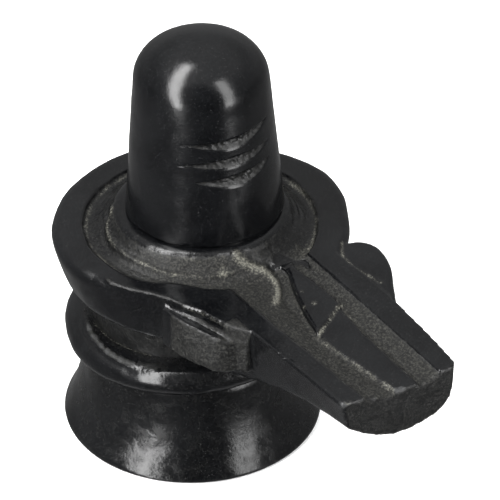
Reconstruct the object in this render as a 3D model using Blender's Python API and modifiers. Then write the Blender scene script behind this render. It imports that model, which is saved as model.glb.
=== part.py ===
"""A small shiva lingam for a home shrine, carved from one block of black stone.

Metres, +Z up. The origin is the middle of the foot's flat underside, and the spout points along -Y.
Run it with: blender --background --python part.py
"""

import math

import bmesh
import bpy
from mathutils import Euler, Vector

MM = 0.001
MERGE = 0.00001
QUARTER = math.radians(90.0)

# Heights above the underside, and of the lingam above the rim
RIM_TOP = 66.1 * MM
LINGAM_HEIGHT = 60.9 * MM

# The foot: a bell that flares down to the floor, and the neck that carries the basin
FOOT_RADIUS = 37.9 * MM
FOOT_EDGE = 0.6 * MM
FOOT_FLARE = 1.7
WAIST_RADIUS = 32.4 * MM
WAIST_HEIGHT = 27.0 * MM
NECK_RADIUS = 29.6 * MM

# The ring between foot and basin, cut a little out of true
RING_RADIUS = 36.6 * MM
RING_CROWN = 29.4 * MM
RING_HEIGHT = 34.4 * MM
RING_THICKNESS = 10.0 * MM
RING_LEAN = math.radians(4.0)
LEAN_TOWARDS = math.radians(36.0)

# The basin: a round disc with a flat rim, a sunk channel and a raised collar
BASIN_CENTRE = Vector((2.5 * MM, -1.8 * MM, 0.0))
BASIN_RADIUS = 42.6 * MM
BASIN_DEPTH = 16.2 * MM
BASIN_TAPER = 3.2 * MM
BASIN_HEEL = 2.4 * MM
RIM_ROUNDING = 2.4 * MM
CHANNEL_RADIUS = 33.9 * MM
CHANNEL_DEPTH = 1.5 * MM
CHANNEL_SLOPE = 0.5 * MM
COLLAR_RADIUS = 25.8 * MM
COLLAR_HEIGHT = 3.4 * MM
COLLAR_STEP = 1.0 * MM
COLLAR_TOE = 1.0 * MM
COLLAR_LIP = 0.5 * MM

# The lingam: a tapering shaft under a dome
LINGAM_SHIFT = Vector((1.0 * MM, -0.7 * MM, 0.0))
LINGAM_RADIUS = 23.2 * MM
SHAFT_TOP_RADIUS = 18.9 * MM
DOME_HEIGHT = 12.4 * MM
SEAT_NICK = 0.5 * MM
SEAT_HEIGHT = 1.0 * MM
LINGAM_LEAN = math.radians(0.9)

# The three stripes cut across the front of the lingam, from the top one down
STRIPE_STARTS = (math.radians(-141.0), math.radians(-139.0), math.radians(-132.0))
STRIPE_END = math.radians(-63.0)
STRIPE_WIDTH = 3.4 * MM
STRIPE_POINT = 0.12
STRIPE_CUT = 0.8 * MM
STRIPE_PITCH = 5.6 * MM
STRIPE_TOP = 38.2 * MM
STRIPE_RISE = 1.8 * MM

# The spout, from the basin's middle out to its squared tip
SPOUT_REACH = 93.2 * MM
SPOUT_ROOT = 20.0 * MM
ROOT_LEFT = 19.8 * MM
ROOT_RIGHT = 21.4 * MM
ROOT_WALL = 33.0 * MM
ROOT_BELLY = 2.0 * MM
TIP_LEFT = 19.0 * MM
TIP_RIGHT = 16.4 * MM
TIP_WALL = 8.2 * MM
TIP_BELLY = 7.4 * MM
TIP_SKEW = 0.12
TIP_CORNER = 1.6 * MM
TIP_SPARE = 4.0 * MM
SPOUT_TUCK = 1.8 * MM
SPOUT_SWEEP = 1.7
RIGHT_SWELL = 0.9 * MM
BELLY_SLOPE_LEFT = 2.0
BELLY_SLOPE_RIGHT = 1.0

# The two grooves along the spout, between the flat banks at its edges
BANK_LEFT = 12.2 * MM
BANK_RIGHT = 14.6 * MM
TIP_BANK_LEFT = 7.2 * MM
TIP_BANK_RIGHT = 6.2 * MM
STEP_LEFT = 0.7 * MM
STEP_RIGHT = 1.1 * MM
GROOVE_DEPTH = 3.1 * MM
GROOVE_RAMP = 0.12
MOUTH_DEPTH = 1.9 * MM
MOUTH_OVERLAP = 4.5 * MM
BED_LEFT = 3.4 * MM
BED_RIGHT = 7.2 * MM
TIP_BED_LEFT = 2.2 * MM
TIP_BED_RIGHT = 3.0 * MM

# The tongue between the grooves: a leaf-shaped plate, then a strip one step lower, in millimetres
# as (along, left edge, right edge, height from the rim's flat)
PLATE_ROWS = ((24.5, 5.6, 10.2, 0.4), (33.9, 3.4, 9.4, -0.3), (40.9, 0.8, 7.2, -0.5), (51.5, -2.4, 7.2, -0.5))
PLATE_END = (57.5, -4.4, 7.4, -0.5)
STRIP_START = (57.8, -4.4, 7.4, -1.4)
STRIP_MIDDLE = (69.5, -3.2, 6.2, -1.4)
STRIP_TIP = (97.2, -2.2, 3.0, -1.4)
PLATE_SLANT = 0.55
TONGUE_ROOT = 2.0 * MM

# The ears where the spout leaves the basin: outlines in millimetres as (across, along) from the
# basin's middle, and their sides as (share of the height, share of the flare)
EAR_HEIGHT = 12.6 * MM
EAR_ROOT = 28.0 * MM
EAR_SPREAD = 10.0 * MM
EAR_DROP_RIGHT = 1.0 * MM
EAR_DROP_LEFT = 2.0 * MM
EAR_FLARE_RIGHT = 1.2 * MM
EAR_FLARE_LEFT = 1.8 * MM
EAR_RIGHT = (
    (17.0, -36.0), (28.2, -32.6), (33.0, -37.6), (31.6, -46.0), (26.4, -54.5), (20.4, -61.0), (13.0, -50.0),
)
EAR_LEFT = (
    (-17.0, -26.0), (-30.6, -24.0), (-31.2, -29.4), (-28.8, -36.0), (-26.6, -42.0), (-24.8, -45.4),
    (-20.6, -46.2), (-13.0, -42.0),
)
EAR_SIDE = ((0.0, 0.0), (0.12, 0.3), (0.75, 1.0), (1.0, 0.55))

# How finely round shapes are cut
TURN_STEPS = 64
FLARE_STEPS = 9
SHAFT_STEPS = 5
DOME_STEPS = 10
RING_STEPS = 6
EDGE_STEPS = 4
BELLY_STEPS = 8
STRIPE_STEPS = 14
SPOUT_STATIONS = (0.0, 0.16, 0.36, 0.6, 0.85, 1.0)
SHARP_ANGLE = math.radians(32.0)


def clear_scene():
    for thing in list(bpy.data.objects):
        bpy.data.objects.remove(thing)


def new_collection(name):
    group = bpy.data.collections.new(name)
    bpy.context.scene.collection.children.link(group)
    return group


def stone_material():
    """Black stone, honed to a soft shine."""
    stone = bpy.data.materials.new("black_stone")
    stone.use_nodes = True
    shader = stone.node_tree.nodes["Principled BSDF"]
    shader.inputs["Base Color"].default_value = (0.022, 0.023, 0.024, 1.0)
    shader.inputs["Roughness"].default_value = 0.38
    shader.inputs["Metallic"].default_value = 0.0
    return stone


def add_object(name, mesh, group):
    thing = bpy.data.objects.new(name, mesh)
    group.objects.link(thing)
    return thing


def as_guide(thing):
    """Marks a shape that is only joined to, or cut from, the stone."""
    thing.hide_render = True
    thing.display_type = 'WIRE'
    return thing


def turned(name, profile, group, centre=Vector(), is_ring=False):
    """A solid turned about +Z from (radius, height) points, listed from the top down its outer side.

    Its profile starts and ends on the axis, or goes right round when it is a ring.
    """
    points = [Vector((max(radius, 0.0), 0.0, height)) for radius, height in profile]
    edges = [(i, i + 1) for i in range(len(points) - 1)]
    if is_ring:
        edges.append((len(points) - 1, 0))
    mesh = bpy.data.meshes.new(name)
    mesh.from_pydata(points, edges, [])
    thing = add_object(name, mesh, group)
    thing.location = centre
    screw = thing.modifiers.new("turn", 'SCREW')
    screw.steps = TURN_STEPS
    screw.render_steps = TURN_STEPS
    screw.use_merge_vertices = True
    screw.merge_threshold = MERGE
    return thing


def lofted(name, sections, group):
    """A solid through closed sections of equally many points, each section a list of corners."""
    shape = bmesh.new()
    rings = [[shape.verts.new(corner) for corner in section] for section in sections]
    for lower, upper in zip(rings, rings[1:]):
        for i in range(len(lower)):
            j = (i + 1) % len(lower)
            shape.faces.new((lower[i], lower[j], upper[j], upper[i]))
    shape.faces.new(rings[0])
    shape.faces.new(rings[-1])
    bmesh.ops.recalc_face_normals(shape, faces=shape.faces)
    bmesh.ops.triangulate(shape, faces=shape.faces)
    mesh = bpy.data.meshes.new(name)
    shape.to_mesh(mesh)
    shape.free()
    return add_object(name, mesh, group)


def blend(start, end, share):
    return start + (end - start) * share


def quarter(radius_at, height_at, steps, start=0.0, end=1.0):
    """Points along a quarter curve, from its radius and height as functions of an angle."""
    angles = [QUARTER * blend(start, end, i / steps) for i in range(steps + 1)]
    return [(radius_at(angle), height_at(angle)) for angle in angles]


def smooth_loop(corners, steps):
    """A closed Catmull-Rom curve through flat corners."""
    loop = []
    count = len(corners)
    for i in range(count):
        before, start, end, after = (Vector(corners[(i + k) % count]) for k in (-1, 0, 1, 2))
        for k in range(steps):
            t = k / steps
            bend = (2 * before - 5 * start + 4 * end - after) * t * t
            swing = (3 * start - before - 3 * end + after) * t * t * t
            loop.append((2 * start + (end - before) * t + bend + swing) / 2)
    return loop


def leaning(angle):
    """The turn of a piece that leans to the left and back by an angle."""
    return Euler((-angle * math.sin(LEAN_TOWARDS), -angle * math.cos(LEAN_TOWARDS), 0.0))


def foot(group):
    """The bell foot and the neck above it, up into the basin."""
    top = RIM_TOP - BASIN_DEPTH / 2
    profile = [(0.0, top), (NECK_RADIUS, top), (NECK_RADIUS, RING_HEIGHT)]
    for i in range(FLARE_STEPS + 1):
        share = i / FLARE_STEPS
        height = blend(WAIST_HEIGHT, FOOT_EDGE, share)
        profile.append((blend(WAIST_RADIUS, FOOT_RADIUS, share ** FOOT_FLARE), height))
    profile += [(FOOT_RADIUS - FOOT_EDGE, 0.0), (0.0, 0.0)]
    return turned("foot", profile, group)


def ring(group):
    """The rounded ring that leans a little to one side."""
    half = RING_THICKNESS / 2
    profile = [(0.0, half)]
    profile += quarter(
        lambda a: blend(RING_CROWN, RING_RADIUS, math.sin(a)),
        lambda a: half * math.cos(a),
        RING_STEPS,
    )
    profile += quarter(
        lambda a: blend(WAIST_RADIUS, RING_RADIUS, math.cos(a)),
        lambda a: -half * math.sin(a),
        RING_STEPS,
        start=1 / RING_STEPS,
    )
    profile += [(0.0, -half)]
    thing = turned("ring", profile, group, Vector((0.0, 0.0, RING_HEIGHT)))
    thing.rotation_euler = leaning(RING_LEAN)
    return thing


def basin(group):
    """The disc: a flat top, a rounded edge, and its wall drawn in below."""
    edge = BASIN_RADIUS - RIM_ROUNDING
    lower = BASIN_RADIUS - BASIN_TAPER
    heel = BASIN_DEPTH + BASIN_HEEL
    profile = [(0.0, 0.0)]
    profile += quarter(
        lambda a: edge + RIM_ROUNDING * math.sin(a),
        lambda a: -RIM_ROUNDING * (1 - math.cos(a)),
        EDGE_STEPS,
    )
    profile += [(blend(BASIN_RADIUS, lower, 0.4), -BASIN_DEPTH / 2), (lower, BASIN_HEEL - BASIN_DEPTH)]
    profile += [(lower - BASIN_HEEL, -BASIN_DEPTH), (NECK_RADIUS, -heel), (0.0, -heel)]
    return turned("basin", profile, group, BASIN_CENTRE + Vector((0.0, 0.0, RIM_TOP)))


def channel_cutter(group):
    """Sinks the channel inside the rim."""
    above = 2 * COLLAR_HEIGHT
    inner = COLLAR_RADIUS - 2 * COLLAR_TOE
    profile = [(inner, above), (CHANNEL_RADIUS, above), (CHANNEL_RADIUS, 0.0)]
    profile += [(CHANNEL_RADIUS - CHANNEL_SLOPE, -CHANNEL_DEPTH), (inner, -CHANNEL_DEPTH)]
    middle = BASIN_CENTRE + Vector((0.0, 0.0, RIM_TOP))
    return turned("channel_cutter", profile, group, middle, is_ring=True)


def collar(group):
    """The low cone round the lingam's foot, with a step at its top."""
    seat = COLLAR_HEIGHT + COLLAR_STEP
    toe = COLLAR_RADIUS + COLLAR_TOE
    profile = [(0.0, seat), (LINGAM_RADIUS, seat), (LINGAM_RADIUS + COLLAR_LIP, COLLAR_HEIGHT)]
    profile += [(COLLAR_RADIUS, -CHANNEL_DEPTH / 2), (toe, -CHANNEL_DEPTH - COLLAR_TOE / 2)]
    profile += [(COLLAR_RADIUS, -CHANNEL_DEPTH * 3), (0.0, -CHANNEL_DEPTH * 3)]
    return turned("collar", profile, group, BASIN_CENTRE + Vector((0.0, 0.0, RIM_TOP)))


def shaft_radius(height):
    """The lingam's radius at a height above the rim, below the dome."""
    return blend(LINGAM_RADIUS, SHAFT_TOP_RADIUS, height / (LINGAM_HEIGHT - DOME_HEIGHT))


def lingam_middle():
    return BASIN_CENTRE + LINGAM_SHIFT + Vector((0.0, 0.0, RIM_TOP))


def lingam(group):
    """The shaft, its dome, and the nick cut round its foot."""
    shoulder = LINGAM_HEIGHT - DOME_HEIGHT
    seat = COLLAR_HEIGHT + COLLAR_STEP
    profile = quarter(
        lambda a: SHAFT_TOP_RADIUS * math.sin(a),
        lambda a: shoulder + DOME_HEIGHT * math.cos(a),
        DOME_STEPS,
    )
    for i in range(1, SHAFT_STEPS + 1):
        height = blend(shoulder, seat + SEAT_HEIGHT, i / SHAFT_STEPS)
        profile.append((shaft_radius(height), height))
    nick = shaft_radius(seat) - SEAT_NICK
    profile += [(nick, seat), (nick, -CHANNEL_DEPTH * 2), (0.0, -CHANNEL_DEPTH * 2)]
    thing = turned("lingam", profile, group, lingam_middle())
    thing.rotation_euler = leaning(LINGAM_LEAN)
    return thing


def stripe(number, group):
    """One crescent stripe: level above, bulging below, pointed at both ends."""
    half = STRIPE_WIDTH / 2
    tube = (half * half + STRIPE_CUT * STRIPE_CUT) / (2 * STRIPE_CUT)
    top = STRIPE_TOP - number * STRIPE_PITCH
    curve = bpy.data.curves.new("stripe_%d" % (number + 1), 'CURVE')
    curve.dimensions = '3D'
    curve.bevel_depth = tube
    curve.bevel_resolution = 4
    curve.use_fill_caps = True
    line = curve.splines.new('POLY')
    line.points.add(STRIPE_STEPS)
    for i, point in enumerate(line.points):
        share = i / STRIPE_STEPS
        fullness = blend(STRIPE_POINT, 1.0, math.sin(math.pi * share))
        angle = blend(STRIPE_STARTS[number], STRIPE_END, share)
        height = top - half * fullness + STRIPE_RISE * (2 * share - 1) ** 2 * share
        reach = shaft_radius(height) + (tube - STRIPE_CUT) * fullness
        point.co = (reach * math.cos(angle), reach * math.sin(angle), height, 1.0)
        point.radius = fullness
    guide = bpy.data.objects.new(curve.name, curve)
    group.objects.link(guide)
    guide.location = lingam_middle()
    guide.rotation_euler = leaning(LINGAM_LEAN)
    return curve_to_mesh(guide, group)


def curve_to_mesh(guide, group):
    """The same shape as a closed mesh, with its caps welded on."""
    bpy.context.view_layer.update()
    seen = guide.evaluated_get(bpy.context.evaluated_depsgraph_get())
    mesh = bpy.data.meshes.new_from_object(seen)
    shape = bmesh.new()
    shape.from_mesh(mesh)
    bmesh.ops.remove_doubles(shape, verts=shape.verts, dist=MERGE)
    bmesh.ops.recalc_face_normals(shape, faces=shape.faces)
    shape.to_mesh(mesh)
    shape.free()
    name = guide.name
    place = guide.matrix_world.copy()
    bpy.data.objects.remove(guide)
    thing = add_object(name, mesh, group)
    thing.matrix_world = place
    return thing


def spout_point(across, along, height):
    """A point given from the basin's middle: across the spout, out along it, and up from the rim's flat."""
    return BASIN_CENTRE + Vector((across, -along, RIM_TOP + height))


def along_skewed(along, across):
    """The spout's tip is cut slightly askew, and what lies before it follows in step."""
    return along + TIP_SKEW * across * along / SPOUT_REACH


def spout(group):
    """The spout's body: flat on top, its walls drawn in below, and a rounded belly that rises to the tip."""
    past_tip = 1.0 + TIP_SPARE / (SPOUT_REACH - SPOUT_ROOT)
    sections = []
    for share in SPOUT_STATIONS + (past_tip,):
        along = blend(SPOUT_ROOT, SPOUT_REACH, share)
        left = blend(ROOT_LEFT, TIP_LEFT, share)
        right = blend(ROOT_RIGHT, TIP_RIGHT, share) + RIGHT_SWELL * math.sin(math.pi * min(share, 1.0))
        wall = blend(TIP_WALL, ROOT_WALL, max(1 - share, 0.0) ** SPOUT_SWEEP)
        belly = blend(ROOT_BELLY, TIP_BELLY, share)
        section = [(-left, 0.0), (right, 0.0)]
        for i in range(BELLY_STEPS + 1):
            turn = math.pi * i / BELLY_STEPS
            reach = math.cos(turn)
            half = (right if reach > 0 else left) - SPOUT_TUCK
            slope = BELLY_SLOPE_RIGHT if reach > 0 else BELLY_SLOPE_LEFT
            section.append((half * reach, -wall - belly * abs(math.sin(turn)) ** slope))
        sections.append([spout_point(x, along_skewed(along, x), z) for x, z in section])
    return lofted("spout", sections, group)


def ear(name, outline, drop, flare, group):
    """A lobe beside the spout's root, flat on top and wider below."""
    loop = smooth_loop([(x * MM, y * MM) for x, y in outline], EDGE_STEPS)
    side = math.copysign(1.0, sum(point.x for point in loop))
    sections = []
    for share, spread in EAR_SIDE:
        height = blend(-drop, -EAR_HEIGHT, share)
        section = []
        for point in loop:
            outward = min(max((-point.y - EAR_ROOT) / EAR_SPREAD, 0.0), 1.0)
            across = point.x + side * flare * spread * outward
            section.append(spout_point(across, -point.y, height))
        sections.append(section)
    return lofted(name, sections, group)


def groove_cutter(group):
    """Cuts the bed of both grooves, which slopes down from the banks to the tongue, out past the tip."""
    start = CHANNEL_RADIUS - MOUTH_OVERLAP
    end = SPOUT_REACH + 2 * TIP_SPARE
    above = 2 * COLLAR_HEIGHT
    sections = []
    for share in (0.0, GROOVE_RAMP, 0.5, 1.0):
        along = blend(start, end, share)
        left = -blend(BANK_LEFT, TIP_LEFT - TIP_BANK_LEFT, share)
        right = blend(BANK_RIGHT, TIP_RIGHT - TIP_BANK_RIGHT, share)
        low_left = -blend(BED_LEFT, TIP_BED_LEFT, share)
        low_right = blend(BED_RIGHT, TIP_BED_RIGHT, share)
        depth = blend(MOUTH_DEPTH, GROOVE_DEPTH, min(1.0, share / GROOVE_RAMP))
        section = [(left, above), (left, -STEP_LEFT), (low_left, -depth), (low_right, -depth)]
        section += [(right, -STEP_RIGHT), (right, above)]
        sections.append([spout_point(x, along_skewed(along, x), z) for x, z in section])
    return lofted("groove_cutter", sections, group)


def tongue(group):
    """The raised tongue: a leaf-shaped plate from the collar, then a lower strip out past the tip."""
    bottom = -GROOVE_DEPTH - TONGUE_ROOT
    rows = [(row, 0.0) for row in PLATE_ROWS]
    rows += [(PLATE_END, PLATE_SLANT), (STRIP_START, PLATE_SLANT)]
    rows += [(STRIP_MIDDLE, PLATE_SLANT / 2), (STRIP_TIP, 0.0)]
    sections = []
    for row, slant in rows:
        along, left, right, top = (value * MM for value in row)
        corners = [(left, top), (right, top), (right, bottom), (left, bottom)]
        sections.append([spout_point(x, along_skewed(along, x) - slant * x, z) for x, z in corners])
    return lofted("tongue", sections, group)


def tip_cutter(group):
    """Squares off the spout, its grooves and its tongue together, with its right corner taken off."""
    depth = 4 * TIP_SPARE
    near = SPOUT_REACH
    far = SPOUT_REACH + depth
    wide = ROOT_RIGHT + ROOT_LEFT
    sections = []
    for height in (-TIP_WALL - 2 * TIP_BELLY, depth):
        corners = [(-wide, near), (TIP_RIGHT - TIP_CORNER, near), (TIP_RIGHT, near - TIP_CORNER)]
        corners += [(2 * TIP_RIGHT, near - TIP_CORNER - TIP_RIGHT), (wide, near), (wide, far), (-wide, far)]
        sections.append([spout_point(x, y + TIP_SKEW * x, height) for x, y in corners])
    return lofted("tip_cutter", sections, group)


def combine(target, tool, operation):
    join = target.modifiers.new(tool.name, 'BOOLEAN')
    join.operation = operation
    join.solver = 'EXACT'
    join.object = as_guide(tool)


def finish(thing, material):
    """One mesh at the origin, in its stone, with smooth rounds and crisp edges."""
    bpy.context.view_layer.update()
    seen = thing.evaluated_get(bpy.context.evaluated_depsgraph_get())
    mesh = bpy.data.meshes.new_from_object(seen)
    mesh.transform(thing.matrix_world)
    mesh.materials.clear()
    mesh.materials.append(material)
    mesh.shade_smooth()
    mesh.set_sharp_from_angle(angle=SHARP_ANGLE)
    return mesh


def main():
    clear_scene()
    model = new_collection("shiva_lingam")
    shapes = new_collection("shapes_and_cutters")

    stone = basin(shapes)
    for solid in (foot(shapes), ring(shapes), spout(shapes)):
        combine(stone, solid, 'UNION')
    combine(stone, ear("ear_right", EAR_RIGHT, EAR_DROP_RIGHT, EAR_FLARE_RIGHT, shapes), 'UNION')
    combine(stone, ear("ear_left", EAR_LEFT, EAR_DROP_LEFT, EAR_FLARE_LEFT, shapes), 'UNION')
    combine(stone, channel_cutter(shapes), 'DIFFERENCE')
    combine(stone, groove_cutter(shapes), 'DIFFERENCE')
    combine(stone, collar(shapes), 'UNION')
    combine(stone, tongue(shapes), 'UNION')
    combine(stone, tip_cutter(shapes), 'DIFFERENCE')
    combine(stone, lingam(shapes), 'UNION')
    for number in range(len(STRIPE_STARTS)):
        combine(stone, stripe(number, shapes), 'DIFFERENCE')

    add_object("shiva_lingam", finish(stone, stone_material()), model)
    as_guide(stone)


main()
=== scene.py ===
import math

import bmesh
import bpy
import numpy as np
from mathutils import Euler, Matrix, Vector
from mathutils.bvhtree import BVHTree


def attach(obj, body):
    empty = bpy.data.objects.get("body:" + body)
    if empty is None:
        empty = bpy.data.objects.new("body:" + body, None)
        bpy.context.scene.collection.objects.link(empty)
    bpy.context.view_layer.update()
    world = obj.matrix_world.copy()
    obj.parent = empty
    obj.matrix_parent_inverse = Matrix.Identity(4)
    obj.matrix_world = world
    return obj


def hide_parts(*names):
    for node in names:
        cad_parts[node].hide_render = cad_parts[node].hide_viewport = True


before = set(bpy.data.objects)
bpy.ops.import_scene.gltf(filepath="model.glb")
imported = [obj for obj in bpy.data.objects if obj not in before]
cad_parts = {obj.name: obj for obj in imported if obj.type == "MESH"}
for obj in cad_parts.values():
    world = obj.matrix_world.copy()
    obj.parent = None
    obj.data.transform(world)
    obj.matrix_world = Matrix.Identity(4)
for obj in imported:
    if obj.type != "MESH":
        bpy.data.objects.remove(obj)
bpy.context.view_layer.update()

MM = 0.001
HALF_TURN = math.pi
QUARTER = math.pi / 2

RIM_TOP = 66.1
BASIN_MIDDLE = Vector((2.5, -1.8, RIM_TOP))
LINGAM_SHIFT = Vector((1.0, -0.7, 0.0))
LEAN_TOWARDS = math.radians(36.0)
LINGAM_LEAN = math.radians(0.9)
RING_LEAN = math.radians(4.0)

# The shaft
LINGAM_HEIGHT = 60.9
DOME_HEIGHT = 12.4
SHAFT_FOOT_RADIUS = 23.2
SHAFT_TOP_RADIUS = 18.9
SEAT = 5.6

# The basin
BASIN_RADIUS = 42.7
EDGE_ROUND = 2.4
CHANNEL_RADIUS = 33.9
CHANNEL_DEPTH = 1.5
PINCH_DEPTH = 2.6
PINCH_ANGLE = -138.0
PINCH_SPREAD = 15.0
COLLAR_RADIUS = 25.1
COLLAR_HEIGHT = 4.5

# The spout
SPOUT_REACH = 93.2
SPOUT_ROOT = 20.0
TIP_SKEW = 0.12
TIP_SPARE = 4.0
TIP_RIGHT = 16.4
TIP_CORNER = 1.6
GROOVE_DEPTH = 3.1

# Ring and foot, as heights above the floor
RING_HEIGHT = 34.4
RING_HALF = 5.0
RING_TOP = 5.0
RING_BULGE = -0.7
RING_RADIUS = 37.2
RING_CROWN = 30.6
NECK_RADIUS = 29.6
WAIST_RADIUS = 31.9
WAIST_HEIGHT = 27.0
FOOT_RADIUS = 38.4
FOOT_FLARE = 2.2

# The view, with the lens and places in the picture in pixels
VIEW_TURN = math.radians(36.0)
VIEW_TILT = math.radians(35.5)
PIXEL = 0.000285
LENS_PIXELS = 2800.0
PICTURE_PIXELS = 500.0
SENSOR = 36.0

# The cut stripes, from the top one: start and end as (degrees round the shaft, height), the height of
# the upper edge between them, and the width
STRIPES = (
    ((-144.0, 37.9), (-59.0, 40.0), 39.0, 3.5),
    ((-146.0, 31.4), (-60.0, 32.8), 33.2, 3.4),
    ((-136.0, 26.4), (-61.0, 27.9), 27.6, 4.0),
)


def blend(start, end, share):
    return start + (end - start) * share


def smooth_step(low, high, values):
    share = np.clip((values - low) / (high - low), 0.0, 1.0)
    return share * share * (3.0 - 2.0 * share)


def hill(values, middle, width):
    """1 at a middle value, falling off smoothly to both sides."""
    return np.exp(-((values - middle) / width) ** 2)


# Modelling by hand

def deselect_all():
    bpy.ops.object.select_all(action='DESELECT')


def open_for_edit(thing):
    deselect_all()
    thing.select_set(True)
    bpy.context.view_layer.objects.active = thing
    bpy.ops.object.mode_set(mode='EDIT')


def close_edit():
    bpy.ops.object.mode_set(mode='OBJECT')


def bridged(name, loops):
    """A closed solid through outlines of equally many points, bridged one to the next and capped."""
    count = len(loops[0])
    deselect_all()
    bpy.ops.mesh.primitive_circle_add(vertices=count, radius=1.0)
    thing = bpy.context.object
    thing.name = name
    open_for_edit(thing)
    for _ in loops[1:]:
        bpy.ops.mesh.primitive_circle_add(vertices=count, radius=1.0)
    work = bmesh.from_edit_mesh(thing.data)
    work.verts.ensure_lookup_table()
    corners = [corner for loop in loops for corner in loop]
    for vert, corner in zip(work.verts, corners):
        vert.co = corner
    bpy.ops.mesh.select_mode(type='VERT')
    for number in range(len(loops) - 1):
        work = bmesh.from_edit_mesh(thing.data)
        for vert in work.verts:
            vert.select = number * count <= vert.index < (number + 2) * count
        work.select_flush_mode()
        for edge in work.edges:
            ring = {vert.index // count for vert in edge.verts}
            edge.select = len(ring) == 1 and ring <= {number, number + 1}
        bmesh.update_edit_mesh(thing.data)
        bpy.ops.mesh.bridge_edge_loops()
    for number in (0, len(loops) - 1):
        work = bmesh.from_edit_mesh(thing.data)
        for vert in work.verts:
            vert.select = number * count <= vert.index < (number + 1) * count
        work.select_flush_mode()
        bmesh.update_edit_mesh(thing.data)
        bpy.ops.mesh.edge_face_add()
    bpy.ops.mesh.select_all(action='SELECT')
    bpy.ops.mesh.normals_make_consistent(inside=False)
    close_edit()
    return thing


def turned(name, profile, steps, is_ring=False):
    """A solid spun about the upright axis from (radius, height) points, top to bottom."""
    deselect_all()
    bpy.ops.mesh.primitive_circle_add(vertices=len(profile), radius=1.0)
    thing = bpy.context.object
    thing.name = name
    open_for_edit(thing)
    work = bmesh.from_edit_mesh(thing.data)
    work.verts.ensure_lookup_table()
    for vert, (radius, height) in zip(work.verts, profile):
        vert.co = (radius, 0.0, height)
    if not is_ring:
        first, last = work.verts[0], work.verts[len(profile) - 1]
        work.edges.remove(work.edges.get((first, last)))
    bmesh.update_edit_mesh(thing.data)
    bpy.ops.mesh.select_all(action='SELECT')
    bpy.ops.mesh.spin(steps=steps, angle=math.tau, center=(0.0, 0.0, 0.0), axis=(0.0, 0.0, 1.0))
    bpy.ops.mesh.select_all(action='SELECT')
    bpy.ops.mesh.remove_doubles(threshold=0.0005)
    bpy.ops.mesh.normals_make_consistent(inside=False)
    close_edit()
    return thing


def place(thing, middle, lean=0.0):
    """Leans a finished shape to the left and back, and sets it at its place in its mesh."""
    turn = Euler((-lean * math.sin(LEAN_TOWARDS), -lean * math.cos(LEAN_TOWARDS), 0.0)).to_matrix().to_4x4()
    thing.data.transform(Matrix.Translation(middle) @ turn)
    return thing


def joined(target, tool, operation):
    """Unites the tool with the target, or cuts it away, and removes the tool."""
    join = target.modifiers.new(operation.lower(), 'BOOLEAN')
    join.operation = operation
    join.solver = 'EXACT'
    join.object = tool
    deselect_all()
    bpy.context.view_layer.objects.active = target
    bpy.ops.object.modifier_apply(modifier=join.name)
    bpy.data.objects.remove(tool)


def apply_last(thing):
    deselect_all()
    thing.select_set(True)
    bpy.context.view_layer.objects.active = thing
    bpy.ops.object.modifier_apply(modifier=thing.modifiers[-1].name)


def softened(profile, spacing, rounds):
    """The profile with evenly spaced points and its corners worn round."""
    corners = np.array(profile, float)
    lengths = np.linalg.norm(np.diff(corners, axis=0), axis=1)
    along = np.concatenate([[0.0], np.cumsum(lengths)])
    count = int(along[-1] / spacing)
    steps = np.linspace(0.0, along[-1], count + 1)
    points = np.stack([np.interp(steps, along, corners[:, k]) for k in (0, 1)], 1)
    for _ in range(rounds):
        points[1:-1] = points[1:-1] / 2 + (points[:-2] + points[2:]) / 4
    return [(float(radius), float(height)) for radius, height in points]


def smooth_loop(corners, steps):
    """A closed curve through flat corners."""
    loop = []
    count = len(corners)
    for i in range(count):
        before, start, end, after = (Vector(corners[(i + k) % count]) for k in (-1, 0, 1, 2))
        for k in range(steps):
            t = k / steps
            bend = (2 * before - 5 * start + 4 * end - after) * t * t
            swing = (3 * start - before - 3 * end + after) * t * t * t
            loop.append((2 * start + (end - before) * t + bend + swing) / 2)
    return loop


# Hand work on the points of a shape

def points_of(thing):
    points = np.empty(len(thing.data.vertices) * 3)
    thing.data.vertices.foreach_get("co", points)
    return points.reshape(-1, 3)


def normals_of(thing):
    normals = np.empty(len(thing.data.vertices) * 3)
    thing.data.vertices.foreach_get("normal", normals)
    return normals.reshape(-1, 3)


def set_points(thing, points):
    thing.data.vertices.foreach_set("co", points.ravel())
    thing.data.update()


def swells(points, size, seed, count=30):
    """Smooth random swells about a size across, mostly between -1 and 1."""
    pick = np.random.default_rng(seed)
    ways = pick.normal(size=(count, 3))
    ways /= np.linalg.norm(ways, axis=1, keepdims=True)
    ways *= math.tau / size * pick.uniform(0.6, 1.5, (count, 1))
    starts = pick.uniform(0.0, math.tau, count)
    return np.cos(points @ ways.T + starts).sum(1) / math.sqrt(count)


def edges_of(thing):
    edges = np.empty(len(thing.data.edges) * 2, int)
    thing.data.edges.foreach_get("vertices", edges)
    return edges.reshape(-1, 2)


def relaxed(points, edges, rounds, share=0.5):
    """Each point drawn towards the middle of its neighbours, a number of times."""
    near = edges.ravel()
    far = edges[:, ::-1].ravel()
    degree = np.maximum(np.bincount(near, minlength=len(points)), 1)[:, None]
    for _ in range(rounds):
        sums = [np.bincount(near, weights=column, minlength=len(points)) for column in points[far].T]
        points = points * (1 - share) + share * np.stack(sums, 1) / degree
    return points


def hollowness(thing, rounds):
    """How far each point lies below its surroundings; negative on ridges and edges."""
    points = points_of(thing)
    return ((relaxed(points, edges_of(thing), rounds) - points) * normals_of(thing)).sum(1)


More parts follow.
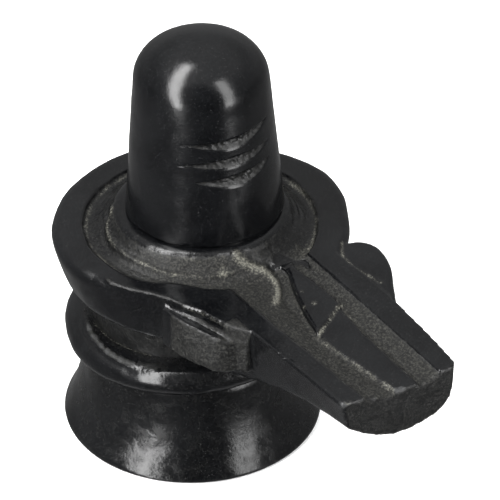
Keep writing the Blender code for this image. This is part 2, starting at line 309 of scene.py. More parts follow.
def nearness(points, others, reach):
    """How near each point is to other shapes, from 0 at the reach to 1 where they meet."""
    near = np.zeros(len(points))
    for other in others:
        mesh = other.data
        tree = BVHTree.FromPolygons([v.co for v in mesh.vertices], [p.vertices for p in mesh.polygons])
        box = points_of(other)
        inside = np.all((points > box.min(0) - reach) & (points < box.max(0) + reach), axis=1)
        for i in np.flatnonzero(inside):
            found = tree.find_nearest(points[i], reach)
            if found[0] is not None:
                near[i] = max(near[i], 1.0 - found[3] / reach)
    return near


def mark(thing, name, values):
    """Keeps a value at each point for the stone's material."""
    layer = thing.data.attributes.new(name, 'FLOAT', 'POINT')
    layer.data.foreach_set("value", np.clip(values, 0.0, 1.0).astype(np.float32))


def finish_piece(thing):
    """Brings the piece to metres, smooth all over."""
    thing.data.transform(Matrix.Scale(MM, 4))
    deselect_all()
    thing.select_set(True)
    bpy.context.view_layer.objects.active = thing
    bpy.ops.object.shade_smooth()


# The shaft

def stripe_depth(angle, height):
    """How deep the three stripes are cut at each point of the shaft, and where they are."""
    depth = np.zeros(len(angle))
    for (start, low), (end, high), middle, width in STRIPES:
        share = np.clip((angle - start) / (end - start), 0.0, 1.0)
        sag = middle - (low + high) / 2
        upper = blend(low, high, share) + sag * 4 * share * (1 - share)
        full = np.sin(HALF_TURN * share ** 1.25) ** 0.9
        down = (upper - height) / np.maximum(width * full, 0.01)
        cut = smooth_step(0.0, 0.16, down) * (1.0 - smooth_step(0.45, 1.05, down))
        cut *= (share > 0.0) & (share < 1.0)
        depth = np.maximum(depth, cut * np.minimum(full * 1.6, 1.0))
    return depth


def make_shaft():
    """The polished shaft and its dome, with the stripes, a wavering nick at its foot and faint flats."""
    shoulder = LINGAM_HEIGHT - DOME_HEIGHT
    turns = [QUARTER * i / 24 for i in range(25)]
    arc = [(SHAFT_TOP_RADIUS * math.sin(turn), shoulder + DOME_HEIGHT * math.cos(turn)) for turn in turns]
    profile = softened(arc + [(SHAFT_FOOT_RADIUS, 0.0), (SHAFT_FOOT_RADIUS, -2.0)], 0.32, 60)
    profile[0] = (0.0, LINGAM_HEIGHT)
    profile.append((0.0, -2.0))
    shaft = turned("lingam_shaft", profile, 288)
    points = points_of(shaft)
    radius = np.hypot(points[:, 0], points[:, 1])
    angle = np.degrees(np.arctan2(points[:, 1], points[:, 0]))
    height = points[:, 2]
    outward = points * np.array([1.0, 1.0, 0.0]) / np.maximum(radius, 0.01)[:, None]
    stripes = stripe_depth(angle, height) * (radius > 10.0)
    pecks = swells(points, 1.4, 5) * 0.13 + swells(points, 0.9, 6) * 0.07
    plan = points * np.array([1.0, 1.0, 0.0])
    waver = SEAT + 0.6 + 0.30 * swells(plan, 17.0, 3) + 0.12 * swells(points, 4.0, 4)
    nick = 1.0 - smooth_step(-0.25, 0.25, height - waver)
    move = -0.75 * stripes + stripes * pecks - 0.8 * nick
    move += (0.10 * swells(points, 26.0, 1) + 0.035 * swells(points, 9.0, 2)) * smooth_step(0.0, 8.0, radius)
    set_points(shaft, points + outward * move[:, None])
    below = smooth_step(0.0, 0.25, stripes)
    mark(shaft, "rough", 0.4 * below)
    mark(shaft, "wear_and_highlight", np.zeros(len(points)))
    mark(shaft, "dust", 0.05 * below * (0.6 + 0.4 * swells(points, 1.6, 8)))
    return place(shaft, BASIN_MIDDLE + LINGAM_SHIFT, LINGAM_LEAN)


# The basin and its spout

def spout_point(across, along, height):
    return BASIN_MIDDLE + Vector((across, -along, height))


def skewed(along, across):
    """The spout's tip is cut slightly askew, and what lies before it follows in step."""
    return along + TIP_SKEW * across * along / SPOUT_REACH


# How far the disc's edge lies inside its round, by degrees round the basin: in at the front left, out at
# the back right
EDGE_ANGLES = (0, 7, 15, 24, 165, 180, 186, 194, 203, 212, 223, 232, 245, 330, 337, 342, 348, 354, 360)
EDGE_PULLS = (-1.9, -1.5, -0.7, 0, 0, 0.8, 2.0, 3.3, 4.6, 5.4, 4.9, 3.5, 0, 0, -0.5, -1.1, -1.3, -1.8, -1.9)


def make_disc():
    """The round disc: a flat top, an edge pulled in at the front left, and its wall drawn in below."""
    flat_radius = BASIN_RADIUS - EDGE_ROUND
    profile = [(0.0, 0.0), (flat_radius, 0.0)]
    for i in range(1, 7):
        turn = QUARTER * i / 6
        profile.append((flat_radius + EDGE_ROUND * math.sin(turn), EDGE_ROUND * math.cos(turn) - EDGE_ROUND))
    profile += [(41.2, -8.1), (39.2, -14.4), (36.0, -16.4), (NECK_RADIUS, -18.6), (0.0, -18.6)]
    disc = turned("basin", softened(profile, 0.9, 2), 180)
    points = points_of(disc)
    radius = np.hypot(points[:, 0], points[:, 1])
    angle = np.degrees(np.arctan2(points[:, 1], points[:, 0]))
    pull = np.interp(angle % 360.0, EDGE_ANGLES, EDGE_PULLS)
    pulled = pull * smooth_step(31.5, 38.5, radius) * smooth_step(-20.0, -0.5, points[:, 2])
    points[:, :2] *= ((radius - pulled) / np.maximum(radius, 0.01))[:, None]
    set_points(disc, points)
    return place(disc, BASIN_MIDDLE)


def make_channel_cutter():
    """Cuts the channel round the collar, pinched at the front left."""
    inner = COLLAR_RADIUS - 2.0
    profile = [(inner, 7.0), (CHANNEL_RADIUS, 7.0), (CHANNEL_RADIUS, 0.0)]
    profile += [(CHANNEL_RADIUS - 0.6, -CHANNEL_DEPTH), (inner, -CHANNEL_DEPTH)]
    cutter = turned("channel", profile, 180, is_ring=True)
    points = points_of(cutter)
    radius = np.hypot(points[:, 0], points[:, 1])
    angle = np.degrees(np.arctan2(points[:, 1], points[:, 0]))
    pinch = PINCH_DEPTH * hill(angle, PINCH_ANGLE, PINCH_SPREAD) + 0.25 * swells(points, 14.0, 11)
    points[:, :2] *= np.where(radius > 30.0, (radius - pinch) / radius, 1.0)[:, None]
    set_points(cutter, points)
    return place(cutter, BASIN_MIDDLE)


def make_collar():
    """The collar round the shaft's foot, which slopes down into the channel."""
    profile = [(0.0, SEAT), (SHAFT_FOOT_RADIUS, SEAT), (COLLAR_RADIUS - 0.8, SEAT - 0.3)]
    profile += [(COLLAR_RADIUS, COLLAR_HEIGHT), (25.7, 3.2), (26.6, 1.9), (28.0, 0.5), (29.6, -0.7)]
    profile += [(31.2, -1.5), (31.4, -2.6), (25.0, -4.5), (0.0, -4.5)]
    return place(turned("collar", softened(profile, 0.5, 1), 180), BASIN_MIDDLE)


def make_spout():
    """The spout's body: flat on top, its walls drawn in below, and a rounded belly that rises to the tip."""
    loops = []
    past_tip = 1.0 + TIP_SPARE / (SPOUT_REACH - SPOUT_ROOT)
    for share in (0.0, 0.1, 0.2, 0.32, 0.45, 0.6, 0.75, 0.88, 1.0, past_tip):
        along = blend(SPOUT_ROOT, SPOUT_REACH, share)
        left = blend(19.8, 19.0, share)
        right = blend(21.4, TIP_RIGHT, share) + 2.2 * math.sin(HALF_TURN * min(share, 1.0))
        wall = blend(8.4, 33.0, max(1 - share, 0.0) ** 1.7)
        belly = blend(2.0, 7.8, share)
        section = [(-left, 0.0), (right, 0.0)]
        for i in range(17):
            turn = HALF_TURN * i / 16
            reach = math.cos(turn)
            half = (right if reach > 0 else left) - 1.8
            section.append((half * reach, -wall - belly * abs(math.sin(turn)) ** (1.0 if reach > 0 else 2.0)))
        loops.append([spout_point(x, skewed(along, x), z) for x, z in section])
    return bridged("spout", loops)


def make_ear(name, outline, drop, base, flare, tilt=0.0):
    """A lug beside the spout's root, with a flat top and sides that swell towards its foot."""
    loop = smooth_loop(outline, 6)
    side = math.copysign(1.0, sum(point.x for point in loop))
    loops = []
    for share, spread in ((0.0, 0.0), (0.12, 0.3), (0.4, 0.75), (0.75, 1.0), (0.9, 0.85), (1.0, 0.5)):
        height = blend(-drop, -base, share)
        out = [min(max((-point.y - 28.0) / 10.0, 0.0), 1.0) for point in loop]
        dips = [tilt * min(abs(point.x) - 28.5, 0.0) * (1.0 - share) for point in loop]
        loops.append([
            spout_point(point.x + side * flare * spread * k, -point.y, height + dip)
            for point, k, dip in zip(loop, out, dips)
        ])
    return bridged(name, loops)


def make_shoulder():
    """The crisp front left edge of the rim, carried on along the spout above the ledge of the left ear."""
    edge = ((-37.5, 3.5), (-37.9, 10.0), (-35.4, 15.2), (-31.9, 20.2), (-28.9, 25.9))
    ledge = [(-27.4, 30.7), (-25.1, 35.5), (-24.0, 40.8), (-22.4, 46.2), (-19.9, 50.5)]
    ledge += [(-14.0, 50.0), (-15.0, 18.0), (-28.0, 4.0)]
    foot = ((-36.6, 3.8), (-36.9, 9.8), (-35.3, 15.1), (-32.1, 20.3), (-29.1, 26.1))
    loops = []
    for height, share in ((0.0, 0.0), (-5.0, 0.15), (-10.0, 0.5), (-14.4, 1.0)):
        outline = [(blend(x, u, share), blend(y, v, share)) for (x, y), (u, v) in zip(edge, foot)]
        loops.append([spout_point(x, y, height) for x, y in outline + ledge])
    return bridged("shoulder", loops)


def make_groove_cutter():
    """Cuts the sloping beds of both grooves, out past the tip."""
    start = CHANNEL_RADIUS - 4.5
    end = SPOUT_REACH + 2 * TIP_SPARE
    loops = []
    for share in (0.0, 0.12, 0.3, 0.5, 0.75, 1.0):
        along = blend(start, end, share)
        left, right = -12.5, blend(14.6, 10.2, share)
        low_left, low_right = -blend(3.4, 2.2, share), blend(7.2, 3.0, share)
        depth = blend(1.9, GROOVE_DEPTH, min(1.0, share / 0.12))
        section = [(left, 7.0), (left, -0.7), (low_left, -depth)]
        section += [(low_right, -depth), (right, -1.1), (right, 7.0)]
        loops.append([spout_point(x, skewed(along, x), z) for x, z in section])
    return bridged("grooves", loops)


# The tongue's rows, as (along, left, right, top, slant)
TONGUE_ROWS = (
    (24.5, 5.6, 10.6, -1.2, 0.0), (29.0, 5.6, 9.6, -1.0, 0.0), (33.9, 5.6, 8.4, -0.5, 0.0),
    (40.9, 2.2, 8.8, -0.5, 0.0), (51.5, -1.8, 8.4, -0.5, 0.0), (58.6, -4.8, 8.0, -0.5, 0.58),
    (58.9, -5.2, 8.0, -1.4, 0.58), (69.5, -4.8, 5.9, -1.4, 0.28), (84.0, -3.6, 4.9, -1.4, 0.1),
    (97.2, -2.7, 3.9, -1.4, 0.0),
)


def make_tongue():
    """The leaf-shaped plate from the collar, then a strip one step lower, out past the tip."""
    loops = []
    for along, left, right, top, slant in TONGUE_ROWS:
        corners = [(left, top), (right, top), (right, -5.1), (left, -5.1)]
        loops.append([spout_point(x, skewed(along, x) - slant * x, z) for x, z in corners])
    return bridged("tongue", loops)


def make_tip_cutter():
    """Cuts the spout's end square across, with a broken right corner."""
    near, far = SPOUT_REACH, SPOUT_REACH + 16.0
    corners = [(-41.0, near), (TIP_RIGHT - TIP_CORNER, near), (TIP_RIGHT, near - TIP_CORNER)]
    corners += [(33.0, near - 19.0), (41.0, near), (41.0, far), (-41.0, far)]
    loops = [[spout_point(x, y + TIP_SKEW * x, z) for x, y in corners] for z in (-20.0, 16.0)]
    return bridged("tip", loops)


def distance_to_line(points, corners):
    """How far each point lies in plan from a line through (across, along) corners."""
    best = np.full(len(points), 1e9)
    for start, end in zip(corners, corners[1:]):
        start, end = np.array(start, float), np.array(end, float)
        way = end - start
        share = np.clip(((points - start) @ way) / (way @ way), 0.0, 1.0)
        best = np.minimum(best, np.linalg.norm(points - start - share[:, None] * way, axis=1))
    return best


# The dark slot along the plate's left wall, and the pale ridge beside it, as (across, along)
SLOT = ((3.0, -29.1), (3.8, -31.1), (3.5, -33.7), (1.5, -37.3), (-0.9, -41.0), (-1.8, -44.0), (-2.4, -48.3))
RIDGE = (
    (-5.5, -24.8), (-4.5, -26.1), (-2.6, -27.8), (0.1, -29.7), (1.1, -31.7), (1.3, -33.2), (1.0, -35.4),
    (-0.3, -37.7), (-3.0, -40.5), (-4.8, -42.1),
)
CREST = ((-27.6, -30.7), (-25.5, -35.5), (-24.4, -40.8), (-23.3, -44.6))
# Pale worn lines: the plate's end, both edges of the strip, the left bank's edge, the right ear's crease
PLATE_END = ((8.6, -54.2), (1.2, -58.6), (-5.2, -62.0))
STRIP_LEFT = ((-5.2, -62.2), (-4.7, -71.3), (-3.8, -80.1), (-2.9, -92.0))
STRIP_RIGHT = ((8.8, -53.5), (5.9, -67.9), (5.0, -80.5), (4.3, -90.8))
PLATE_LEFT = ((3.4, -38.9), (-0.3, -46.6), (-3.0, -55.0))
BANK_EDGE = ((-12.6, -35.0), (-12.5, -93.0))
EAR_CREASE = ((26.2, -32.0), (23.0, -36.2), (21.8, -41.0), (22.2, -45.3), (23.6, -52.8))
TONGUE_LINE = ((7.4, -33.5), (4.2, -42.0), (2.0, -54.0), (1.0, -75.0), (0.5, -93.0))
# Pale chips as (across, along, size)
CHIPS = ((-0.9, -50.1, 0.7), (2.4, -50.3, 0.9), (3.1, -43.9, 0.5), (-10.6, -25.6, 1.3), (-17.5, -91.6, 1.3))
# The low lip round the collar's front left, as degrees round the basin and its radius there
LIP_ANGLES = (140, 149, 156, 166, 190, 204, 217, 240, 252, 262)
LIP_RADII = (24.8, 25.0, 26.8, 27.6, 27.7, 27.8, 28.3, 28.3, 27.9, 27.9)
# Outlines of the ears in plan, as (across, along)
EAR_RIGHT = (
    (17.0, -36.0), (28.2, -32.6), (33.0, -37.6), (31.6, -46.0), (26.4, -54.5), (20.4, -61.0), (13.0, -50.0),
)
EAR_LEFT = (
    (-17.0, -26.0), (-30.0, -24.4), (-30.4, -30.0), (-29.3, -35.6), (-27.5, -40.4), (-25.6, -44.8),
    (-20.6, -47.0), (-13.0, -42.0),
)


def traced(plan, corners, width):
    """1 along a line on the basin's top, falling off to its sides."""
    return np.exp(-(distance_to_line(plan, corners) / width) ** 2)


def make_basin():
    """Disc, spout, ears, collar and tongue cut as one, and brought to one fine mesh."""
    basin = make_disc()
    joined(basin, make_spout(), 'UNION')
    joined(basin, make_ear("ear_right", EAR_RIGHT, 1.0, 12.6, 1.2), 'UNION')
    joined(basin, make_ear("ear_left", EAR_LEFT, 2.6, 14.9, 0.9, 0.4), 'UNION')
    joined(basin, make_shoulder(), 'UNION')
    joined(basin, make_channel_cutter(), 'DIFFERENCE')
    joined(basin, make_groove_cutter(), 'DIFFERENCE')
    joined(basin, make_collar(), 'UNION')
    joined(basin, make_tongue(), 'UNION')
    joined(basin, make_tip_cutter(), 'DIFFERENCE')

    grain = basin.modifiers.new("grain", 'REMESH')
    grain.mode = 'VOXEL'
    grain.voxel_size = 0.54
    apply_last(basin)
    set_points(basin, relaxed(points_of(basin), edges_of(basin), 2))
    wear_basin(basin)
    return basin


def wear_basin(basin):
    """Moves the basin's points for its tooling and wear, and marks where it is rough, dusty or worn pale."""
    points = points_of(basin)
    normals = normals_of(basin)
    plan = points[:, :2] - np.array(BASIN_MIDDLE[:2])
    x, y = plan[:, 0], plan[:, 1]
    flat = np.stack([x, y, np.zeros(len(x))], 1)
    depth = RIM_TOP - points[:, 2]
    radius = np.hypot(x, y)
    angle = np.degrees(np.arctan2(y, x))
    around = angle % 360.0
    on_top = smooth_step(0.1, 0.5, normals[:, 2])
    front = hill(angle, -118.0, 34.0)
    front_left = hill(around, 222.0, 40.0)

    # Rough from the chisel: the collar's slope, the grooves, the tip's face and the left ear's side
    outer = CHANNEL_RADIUS - PINCH_DEPTH * hill(angle, PINCH_ANGLE, PINCH_SPREAD)
    in_ring = smooth_step(22.0, 24.0, radius) * (1 - smooth_step(outer - 0.4, outer + 0.2, radius))
    in_ring *= np.abs(depth) < 6.0
    slope = in_ring * smooth_step(24.8, 25.3, radius)
    floor = in_ring * smooth_step(25.3, 27.0, radius)
    sunk = smooth_step(0.3, 0.9, depth) * (depth < 5.0) * (x > -13.2) * (x < 15.8) * (y < -24.0)
    on_tongue = (distance_to_line(plan, TONGUE_LINE) < 6.0 + 0.7 * swells(flat, 5.0, 25)) & (depth < 1.75)
    tip_face = smooth_step(0.5, 0.8, -normals[:, 1]) * (y < -87.0)
    ledge_side = (1 - smooth_step(0.86, 0.95, normals[:, 2])) * smooth_step(2.3, 3.1, depth)
    ledge_side *= (x < -20.5) * (y < -29.0) * (y > -51.0) * (depth < 15.5)
    ledge_end = (x < -19.5) * (y < -43.5) * (y > -52.0) * (depth < 15.5)
    rough = np.maximum(slope * (0.32 + 0.33 * front + 0.28 * front_left), 0.2 * in_ring)
    rough = np.maximum(rough, sunk) * on_top * np.where(on_tongue, 0.1, 1.0)
    rough = np.maximum(rough, np.maximum(0.45 * tip_face, 0.6 * np.maximum(ledge_side, ledge_end)))
    rough = relaxed(rough[:, None], edges_of(basin), 3)[:, 0]

    # Slots, ridges and ripples that the tools left
    slot = traced(plan, SLOT, 0.9) * on_top
    ridge = traced(plan, RIDGE, 1.0) * on_top * (1 - slot)
    crest = traced(plan, CREST, 0.7) * (1 - smooth_step(1.0, 1.8, depth))
    crease = traced(plan, EAR_CREASE, 0.6) * (depth < 3.0)
    rings = np.sin(math.tau * radius / 1.7 + 0.9 * swells(flat, 16.0, 26))
    rings *= smooth_step(-0.3, 0.6, swells(flat, 9.0, 27))
    lip_radius = np.interp(around, LIP_ANGLES, LIP_RADII)
    along_lip = in_ring * smooth_step(138.0, 146.0, around) * (1 - smooth_step(252.0, 264.0, around))
    lip = hill(radius, lip_radius, 0.6) * along_lip
    gap = hill(radius, lip_radius + 1.7, 0.7) * along_lip
    move = 0.10 * swells(points, 20.0, 21) + 0.03 * swells(points, 6.0, 22)
    move += rough * (0.07 * swells(points, 3.2, 23) + 0.05 * swells(points, 1.5, 24))
    move += 0.8 * ridge + 0.6 * lip + 0.2 * crest - 0.55 * slot - 0.35 * gap - 0.25 * crease
    move += (0.10 + 0.1 * front) * rings * slope * (1 - ridge) * (1 - lip)
    points = points + normals * (move + 0.05)[:, None]
    set_points(basin, points)

    # Dust in the hollows and along the cut lines
    hollow = hollowness(basin, 8)
    outer_foot = hill(radius, outer - 1.1, 0.6) * in_ring
    collar_foot = hill(radius, 25.2, 0.45) * in_ring
    in_groove = smooth_step(0.04, 0.2, hollow) * on_top * (depth > 0.4) * (y < -24.0) * (1 - slot)
    dust = 0.42 * (1 - front) ** 4 * outer_foot + (0.1 + 0.2 * front) * collar_foot
    dust += 0.45 * lip ** 2 + 0.04 * floor * (1 - gap) + 0.15 * in_groove
    dust *= 0.75 + 0.35 * swells(flat, 9.0, 28) + 0.25 * swells(flat, 2.2, 29)
    lines = 0.4 * crease
    for corners, strength in (
        (PLATE_END, 0.6), (STRIP_LEFT, 0.42), (STRIP_RIGHT, 0.3), (PLATE_LEFT, 0.15), (BANK_EDGE, 0.22),
    ):
        lines = lines + strength * traced(plan, corners, 0.5)
    dust += lines * (0.75 + 0.45 * swells(flat, 3.5, 32)) * on_top
    dust += 0.9 * ridge + 0.3 * crest * (0.8 + 0.3 * swells(points, 3.0, 31))
    for across, along, size in CHIPS:
        dust += 0.5 * hill(np.hypot(x - across, y - along), 0.0, size) * on_top

    # Edges worn pale: the tip's and the rim's crisp front left edge; along the disc's lower edge on the left,
    # a painted highlight
    edge = smooth_step(0.05, 0.2, -hollow)
    tip_edge = edge * (y < -88.0) * (depth < 3.0)
    left_edge = edge * smooth_step(-178.0, -168.0, angle) * (1 - smooth_step(-134.0, -128.0, angle))
    left_edge *= (depth < 2.0) * (radius > 36.0)
    # Painted highlight: a pale line along the disc's lower edge on the left
    painted_lower_edge_highlight = hill(depth, 14.6, 0.7) * (1 - smooth_step(-150.0, -136.0, angle))
    painted_lower_edge_highlight *= (radius > 37.5) * (angle < -60.0)
    wear_and_highlight = 0.8 * tip_edge * (0.6 + 0.6 * swells(points, 5.0, 37)) + 0.15 * left_edge + 0.9 * painted_lower_edge_highlight
    mark(basin, "rough", np.maximum(np.maximum(rough, 0.12), 0.5 * left_edge))
    mark(basin, "dust", dust)
    mark(basin, "wear_and_highlight", wear_and_highlight * (0.6 + 0.5 * swells(points, 3.0, 30)))


# Ring and foot

def make_ring():
    """The ring between basin and foot: a sloping top, a pecked ridge and a round belly."""
    profile = [(0.0, RING_TOP), (NECK_RADIUS, RING_TOP)]
    for i in range(13):
        turn = QUARTER * i / 12
        out = blend(RING_CROWN, RING_RADIUS, math.sin(turn) ** 0.9)
        profile.append((out, blend(RING_BULGE, RING_TOP, math.cos(turn) ** 0.9)))
    for i in range(1, 13):
        turn = QUARTER * i / 12
        out = blend(WAIST_RADIUS, RING_RADIUS, math.cos(turn))
        profile.append((out, blend(RING_BULGE, -RING_HALF, math.sin(turn))))
    profile.append((0.0, -RING_HALF))
    ring = turned("ring", softened(profile, 0.5, 4), 480)
    true = points_of(ring)
    place(ring, Vector((0.0, 0.0, RING_HEIGHT)), RING_LEAN)
    points = points_of(ring)
    normals = normals_of(ring)
    radius = np.hypot(true[:, 0], true[:, 1])
    angle = (np.degrees(np.arctan2(true[:, 1], true[:, 0])) + 126.0) % 360.0
    angle = np.where(angle > 180.0, angle - 360.0, angle)
    upper = true[:, 2] > 0.0
    middle = 31.2 + 3.0 * smooth_step(-78.0, -26.0, angle)
    left = smooth_step(-80.0, -62.0, angle) * (1 - smooth_step(-30.0, -22.0, angle))
    band = hill(radius, middle, 0.9) * upper * left
    under = hill(radius, middle + 1.6, 0.7) * upper * left
    patch = hill(radius, 33.7, 1.8) * hill(angle, -19.0, 11.0) * upper
    move = 0.12 * swells(points, 22.0, 31) + 0.05 * swells(points, 7.0, 32)
    move += (band + patch) * (0.10 * swells(points, 1.3, 33)) + 0.25 * band - 0.45 * under
    beside = smooth_step(-25.0, -8.0, angle) * (1 - smooth_step(28.0, 42.0, angle)) * (true[:, 2] > -0.5)
    shelf = beside * smooth_step(32.0, 33.5, radius) * (1 - smooth_step(35.4, 36.8, radius))
    points[:, 2] += 0.8 * shelf * np.maximum(4.5 - true[:, 2], 0.0)
    set_points(ring, points + normals * move[:, None])
    inside = 1 - smooth_step(31.0, 32.5, radius)
    rough = np.maximum(np.maximum(0.8 * band, 0.5 * patch), np.maximum(0.3 * inside, 0.25 * beside))
    mark(ring, "rough", rough)
    # Pale along the ridge's left: rubbed stone with a painted highlight on it
    mark(ring, "wear_and_highlight", band * (0.8 + 0.5 * swells(points, 3.0, 34)))
    return ring


def make_foot():
    """The neck under the basin and the bell foot, hollowed a little under its flare."""
    profile = [(0.0, RIM_TOP - 8.0), (NECK_RADIUS, RIM_TOP - 8.0), (NECK_RADIUS, RING_HEIGHT)]
    for i in range(13):
        share = i / 12
        out = blend(WAIST_RADIUS, FOOT_RADIUS, share ** FOOT_FLARE)
        profile.append((out, blend(WAIST_HEIGHT, 0.5, share)))
    profile += [(FOOT_RADIUS - 0.4, 0.0), (0.0, 0.0)]
    foot = turned("foot", softened(profile, 0.6, 1), 256)
    points = points_of(foot)
    normals = normals_of(foot)
    off_floor = smooth_step(0.0, 2.0, points[:, 2])
    move = (0.12 * swells(points, 24.0, 41) + 0.04 * swells(points, 8.0, 42)) * off_floor
    set_points(foot, points + normals * move[:, None])
    neck = smooth_step(RING_HEIGHT, RING_HEIGHT + 3.0, points[:, 2])
    mark(foot, "rough", np.maximum(0.4 * neck, 0.24))
    mark(foot, "wear_and_highlight", 0.4 * hill(points[:, 2], 0.6, 0.8))
    return foot


# The stone: its colours, as linear red, green and blue

DEEP_BLACK = (0.0012, 0.0013, 0.0016)
SOFT_BLACK = (0.0028, 0.0030, 0.0034)
FINE_SPECK = (0.010, 0.0105, 0.0115)
CRYSTAL = (0.08, 0.08, 0.078)
PIT_DARK = (0.002, 0.002, 0.0018)
PIT_PALE = (0.023, 0.0227, 0.0195)
# Pale for worn edges, also used for painted highlights
PALE_WEAR_AND_HIGHLIGHT = (0.06, 0.061, 0.062)
STONE_DUST = (0.12, 0.117, 0.098)


class Socket:
    """A value in the stone's material that takes part in plain sums."""

    def __init__(self, tree, link):
        self.tree = tree
        self.link = link

    def math(self, operation, *values):
        return self.tree.add('ShaderNodeMath', {"operation": operation}, *values)

    def __add__(self, other):
        return self.math('ADD', self, other)

    def __radd__(self, other):
        return self.math('ADD', other, self)

    def __sub__(self, other):
        return self.math('SUBTRACT', self, other)

    def __rsub__(self, other):
        return self.math('SUBTRACT', other, self)

    def __mul__(self, other):
        return self.math('MULTIPLY', self, other)

    def __rmul__(self, other):
        return self.math('MULTIPLY', other, self)

    def __truediv__(self, other):
        return self.math('DIVIDE', self, other)

    def __pow__(self, other):
        return self.math('POWER', self, other)

    def within(self, low, high):
        """0 below a value, 1 above another, smooth between them."""
        settings = {"interpolation_type": 'SMOOTHSTEP'}
        return self.tree.add('ShaderNodeMapRange', settings, self, low, high, 0.0, 1.0)


class Tree:
    """Adds nodes to a material or to the surroundings."""

    def __init__(self, nodes):
        self.nodes = nodes.nodes
        self.links = nodes.links

    def add(self, kind, settings, *values, out=0, **named):
        node = self.nodes.new(kind)
        for key, value in settings.items():
            setattr(node, key, value)
        for key, value in list(enumerate(values)) + list(named.items()):
            self.feed(node.inputs[key], value)
        return Socket(self, node.outputs[out])

    def feed(self, socket, value):
        if isinstance(value, Socket):
            self.links.new(value.link, socket)
        else:
            socket.default_value = value

    def colour(self, share, first, second, kind='MIX'):
        """Two colours mixed, each a plain colour or a link."""
        node = self.nodes.new('ShaderNodeMix')
        node.data_type = 'RGBA'
        node.blend_type = kind
        for number, value in ((0, share), (6, first), (7, second)):
            self.feed(node.inputs[number], value if isinstance(value, (Socket, float)) else (*value, 1.0))
        return Socket(self, node.outputs[2])


def make_stone():
    """Black stone honed to a soft shine, pecked and dusty in its cuts, pale along its worn edges, with
    painted highlights on the disc's lower edge and the ring's ridge.
    """
    material = bpy.data.materials.new("black_stone")
    material.use_nodes = True
    tree = Tree(material.node_tree)
    shader = tree.nodes["Principled BSDF"]
    place_on_stone = tree.add('ShaderNodeTexCoord', {}, out=3)
    rough = tree.add('ShaderNodeAttribute', {"attribute_name": "rough"}, out=2)
    dust = tree.add('ShaderNodeAttribute', {"attribute_name": "dust"}, out=2)
    wear_and_highlight = tree.add('ShaderNodeAttribute', {"attribute_name": "wear_and_highlight"}, out=2)

    def noise(size, detail=2.0, roughness=0.5):
        scale = 1.0 / (size * MM)
        return tree.add(
            'ShaderNodeTexNoise', {}, Vector=place_on_stone, Scale=scale, Detail=detail, Roughness=roughness
        )

    clouds = noise(14.0, 3.0).within(0.35, 0.65)
    haze = noise(3.0, 3.0, 0.6).within(0.3, 0.7)
    grain = noise(0.6, 4.0, 0.75)
    speck = grain.within(0.47, 0.6)
    pecks = noise(0.9, 2.0, 0.65)
    sparkle = noise(0.42, 1.0).within(0.67, 0.74)
    coarse = (rough + (haze - 0.5) * 0.14).within(0.1, 0.9)
    dusty = (dust * (0.45 + 1.1 * speck)).within(0.02, 1.0)
    pale = (wear_and_highlight * (0.4 + 1.2 * pecks)).within(0.15, 0.9)

    base = tree.colour(clouds, DEEP_BLACK, SOFT_BLACK)
    base = tree.colour(speck * 0.25, base, FINE_SPECK)
    base = tree.colour(sparkle * (0.15 + coarse), base, CRYSTAL)
    base = tree.colour(coarse, base, tree.colour(speck, PIT_DARK, PIT_PALE))
    # Pale wear, and painted highlights on the disc's lower edge and the ring's ridge
    base = tree.colour(pale * 0.4, base, PALE_WEAR_AND_HIGHLIGHT)
    base = tree.colour(dusty, base, STONE_DUST)
    tree.feed(shader.inputs["Base Color"], base)

    shine = 0.13 + 0.05 * haze + 0.04 * clouds
    shine = shine + coarse * 0.55 + dusty * 0.15 + pale * 0.1
    tree.feed(shader.inputs["Roughness"], shine)
    shader.inputs["IOR"].default_value = 1.38

    height = grain * (0.018 + coarse * 0.16) + pecks * coarse * 0.24 + haze * 0.012
    bump = tree.add('ShaderNodeBump', {}, Strength=1.0, Distance=MM, Height=height)
    tree.feed(shader.inputs["Normal"], bump)
    return material


# The room

def make_camera():
    """Looks down at the spout's left side from the front left."""
    right = Vector((math.cos(VIEW_TURN), -math.sin(VIEW_TURN), 0.0))
    away = Vector((math.sin(VIEW_TURN), math.cos(VIEW_TURN), 0.0))
    up = Vector((0.0, 0.0, 1.0))
    look = away * math.cos(VIEW_TILT) - up * math.sin(VIEW_TILT)
    over = away * math.sin(VIEW_TILT) + up * math.cos(VIEW_TILT)
    where = BASIN_MIDDLE * MM + PIXEL * (49.0 * right - 30.5 * over - LENS_PIXELS * look)
    data = bpy.data.cameras.new("camera")
    data.sensor_width = SENSOR
    data.lens = SENSOR * LENS_PIXELS / PICTURE_PIXELS
    data.clip_start = 0.01
    camera = bpy.data.objects.new("camera", data)
    bpy.context.scene.collection.objects.link(camera)
    camera.matrix_world = Matrix.Translation(where) @ Matrix((right, over, -look)).transposed().to_4x4()
    bpy.context.scene.camera = camera
    return right, away


def make_panel(name, middle, target, width, height, power, roll=0.0):
    """A soft light panel at a place, facing its target and rolled about that line by some degrees."""
    data = bpy.data.lights.new(name, 'AREA')
    data.shape = 'RECTANGLE'
    data.size = width
    data.size_y = height
    data.energy = power
    panel = bpy.data.objects.new(name, data)
    bpy.context.scene.collection.objects.link(panel)
    panel.location = middle
    facing = (Vector(target) - Vector(middle)).to_track_quat('-Z', 'Y')
    panel.rotation_euler = (facing @ Euler((0.0, 0.0, math.radians(roll))).to_quaternion()).to_euler()
    return panel


def make_floor():
    """White paper under the stone."""
    deselect_all()
    bpy.ops.mesh.primitive_plane_add(size=8.0, location=(0.0, 0.0, -0.0002))
    floor = bpy.context.object
    floor.name = "floor"
    paper = bpy.data.materials.new("white_paper")
    paper.use_nodes = True
    shader = paper.node_tree.nodes["Principled BSDF"]
    shader.inputs["Base Color"].default_value = (0.86, 0.86, 0.86, 1.0)
    shader.inputs["Roughness"].default_value = 0.9
    shader.inputs["Specular IOR Level"].default_value = 0.1
    shader.inputs["Emission Color"].default_value = (1.0, 1.0, 1.0, 1.0)
    shader.inputs["Emission Strength"].default_value = 0.3
    floor.data.materials.append(paper)
    floor.visible_glossy = False


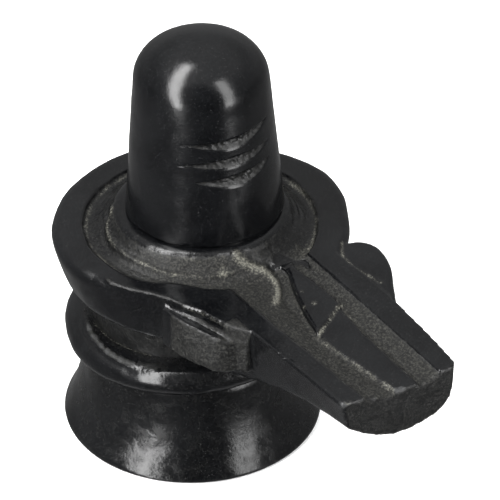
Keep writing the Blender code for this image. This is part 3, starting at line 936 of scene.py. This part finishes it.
def make_surroundings(right, away):
    """A pale room, dimmer behind the camera and low down."""
    world = bpy.data.worlds.new("room")
    world.use_nodes = True
    bpy.context.scene.world = world
    tree = Tree(world.node_tree)
    back = tree.nodes["Background"]
    back.inputs["Color"].default_value = (1.0, 1.0, 1.0, 1.0)
    way = tree.add('ShaderNodeTexCoord', {}, out=0)

    def facing(direction):
        return tree.add('ShaderNodeVectorMath', {"operation": 'DOT_PRODUCT'}, way, direction, out=1)

    toward, side, high = facing(-away), facing(right), facing((0.0, 0.0, 1.0))
    turn = tree.add('ShaderNodeMath', {"operation": 'ARCTAN2'}, side, toward)

    def lobe(middle, width):
        gap = (turn - middle) / width
        return tree.add('ShaderNodeMath', {"operation": 'EXPONENT'}, 0.0 - gap * gap)

    low = high.within(0.0, -0.14) * high.within(-0.44, -0.3)
    glow = 0.22 + 0.16 * high.within(-0.1, 0.3)
    glow = glow + 0.5 * high.within(0.45, 0.95) + 0.3 * high.within(-0.72, -0.95)
    dark_front = lobe(0.15, 0.55) * (1.0 - high.within(0.7, 0.98))
    glow = glow * (1.0 - 0.8 * dark_front)
    glow = glow + low * (2.0 * lobe(-0.56, 0.17) + 2.4 * lobe(0.88, 0.19))
    tree.feed(back.inputs["Strength"], glow)


def make_lights(right, away):
    """Two upright panels at the front left and right, and a broad one overhead that doesn't mirror."""
    middle = BASIN_MIDDLE * MM

    def around(degrees, distance, height):
        turn = math.radians(degrees)
        sideways = math.sin(turn) * right - math.cos(turn) * away
        return middle + distance * sideways + Vector((0.0, 0.0, height))

    make_panel("left_panel", around(-49.0, 0.52, 0.375), middle, 0.19, 1.6, 17.5, 19.0)
    make_panel("right_panel", around(46.0, 0.583, 0.25), middle, 0.19, 0.93, 4.7)
    top = make_panel("top_panel", middle + Vector((0.0, 0.3, 1.4)), middle, 1.6, 1.6, 20.0)
    top.visible_glossy = False


def main():
    stone = make_stone()
    shaft = make_shaft()
    basin = make_basin()
    ring = make_ring()
    foot = make_foot()

    points = points_of(ring)
    crease = nearness(points, (foot,), 1.0)
    far_left = (points[:, 0] < -20.0) * (points[:, 1] > -16.0) * (points[:, 1] < 8.0)
    mark(ring, "dust", smooth_step(0.35, 1.0, crease) * 0.5 * far_left)
    mark(foot, "dust", np.zeros(len(foot.data.vertices)))

    for piece in (shaft, basin, ring, foot):
        finish_piece(piece)
        piece.data.materials.clear()
        piece.data.materials.append(stone)
        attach(piece, "root")
        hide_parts("shiva_lingam")

    right, away = make_camera()
    make_floor()
    make_surroundings(right, away)
    make_lights(right, away)
    bpy.context.scene.view_settings.view_transform = 'Standard'


main()
